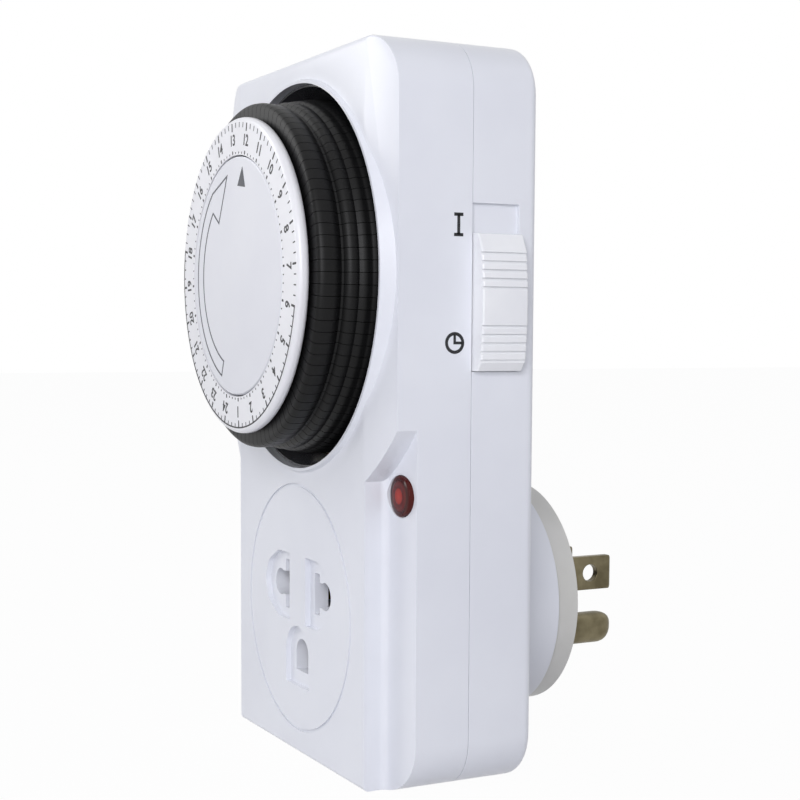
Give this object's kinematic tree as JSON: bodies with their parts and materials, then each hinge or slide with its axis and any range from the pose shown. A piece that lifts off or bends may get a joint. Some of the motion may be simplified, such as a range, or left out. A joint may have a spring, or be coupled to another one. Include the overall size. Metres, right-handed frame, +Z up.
{
  "type": "plug in timer switch",
  "caption": "Wall plug mechanical timer with a day dial of push segments, a pass-through outlet, a side slide switch and a lamp.",
  "frame": {"origin": "middle of the plug's rear face, on the plug boss's axis", "axes": "+Y out of the plug's rear face towards the wall, +Z up with the dial above the outlet, +X to the slide switch's side"},
  "size_m": [0.0729, 0.0776, 0.1206],
  "materials": {
    "case_white": "smooth satin moulded ABS",
    "insert_grey": "moulded polycarbonate, slightly greyer",
    "dial_white": "smooth moulded, printed in black",
    "disc_white": "smooth moulded, printed in black",
    "segment_black": "satin moulded",
    "liner_black": "glossy moulded",
    "knob_white": "smooth moulded",
    "lens_red": "clear red moulded",
    "blade_nickel": "dull nickel on brass",
    "contact_brass": "stamped spring brass",
    "steel": "bright steel",
    "gear_nylon": "natural acetal",
    "inner_plastic": "moulded phenolic",
    "coil_copper": "enamelled copper",
    "magnet": "ferrite",
    "lamp_glass": "clear glass",
    "resistor_tan": "lacquered"
  },
  "bodies": {
    "case": {"front_cover": "case_white", "rear_cover": "case_white", "case_screws": "steel", "plug_insert": "insert_grey", "neutral_blade": "blade_nickel", "live_blade": "blade_nickel", "ground_pin": "blade_nickel", "neutral_contact": "contact_brass", "live_contact": "contact_brass", "live_strap": "contact_brass", "ground_contact": "contact_brass", "contact_carrier": "inner_plastic", "well_liner": "liner_black", "centre_disc": "disc_white", "gear_arbors": "steel", "movement_plate": "inner_plastic", "dial_stem": "steel", "stem_washer": "gear_nylon", "motor_can": "steel", "coil_bobbin": "inner_plastic", "coil_winding": "coil_copper", "lever_pin": "steel", "snap_switch_case": "inner_plastic", "switch_terminals": "contact_brass", "switch_spring_blade": "contact_brass", "lamp_lens": "lens_red", "neon_lamp": "lamp_glass", "lamp_resistor": "resistor_tan"},
    "dial": {"dial_ring": "dial_white", "segment_carrier": "segment_black", "switching_segments": "segment_black", "dial_gear": "gear_nylon"},
    "segment": {"noon_segment": "segment_black"},
    "clutch_pinion": {"clutch_pinion": "gear_nylon"},
    "clutch_wheel": {"clutch_wheel": "gear_nylon"},
    "second_wheel": {"second_wheel": "gear_nylon"},
    "first_wheel": {"first_wheel": "gear_nylon"},
    "rotor": {"motor_rotor": "magnet"},
    "lever": {"trip_lever": "gear_nylon"},
    "plunger": {"switch_plunger": "gear_nylon"},
    "knob": {"switch_knob": "knob_white"}
  },
  "joints": [
    {"name": "dial_spin", "type": "hinge", "parent": "case", "child": "dial", "pos_m": [0, -0.0456, 0.0576], "axis": [0, 1, 0], "continuous": true},
    {"name": "segment_push", "type": "slide", "parent": "dial", "child": "segment", "axis": [0, 1, 0], "range_m": [0, 0.0024]},
    {"name": "clutch_pinion_spin", "type": "hinge", "parent": "case", "child": "clutch_pinion", "pos_m": [-0.01, -0.0368, 0.03198], "axis": [0, 1, 0], "continuous": true},
    {"name": "rotor_spin", "type": "hinge", "parent": "case", "child": "rotor", "pos_m": [0.014, -0.0256, 0.05898], "axis": [0, 1, 0], "continuous": true},
    {"name": "first_wheel_spin", "type": "hinge", "parent": "case", "child": "first_wheel", "pos_m": [0.014, -0.0326, 0.04398], "axis": [0, 1, 0], "continuous": true},
    {"name": "second_wheel_spin", "type": "hinge", "parent": "case", "child": "second_wheel", "pos_m": [0.005, -0.0336, 0.03198], "axis": [0, 1, 0], "continuous": true},
    {"name": "clutch_wheel_spin", "type": "hinge", "parent": "case", "child": "clutch_wheel", "pos_m": [-0.01, -0.0349, 0.03198], "axis": [0, 1, 0], "continuous": true},
    {"name": "lever_swing", "type": "hinge", "parent": "case", "child": "lever", "pos_m": [0.02525, -0.0368, 0.0156], "axis": [-1, 0, 0], "range_deg": [0, 3.3], "stiffness_Nm_per_rad": 0.002},
    {"name": "plunger_press", "type": "slide", "parent": "case", "child": "plunger", "axis": [0, 1, 0], "range_m": [0, 0.00041]},
    {"name": "knob_slide", "type": "slide", "parent": "case", "child": "knob", "axis": [0, 0, 1], "range_m": [0, 0.0047]}
  ],
  "couplings": [
    {"joint": "clutch_pinion_spin", "follows": "dial_spin", "ratio": -4},
    {"joint": "first_wheel_spin", "follows": "rotor_spin", "ratio": -0.25},
    {"joint": "second_wheel_spin", "follows": "rotor_spin", "ratio": 0.0625},
    {"joint": "clutch_wheel_spin", "follows": "rotor_spin", "ratio": -0.015625},
    {"joint": "plunger_press", "follows": "lever_swing", "m_per_rad": 0.007}
  ]
}
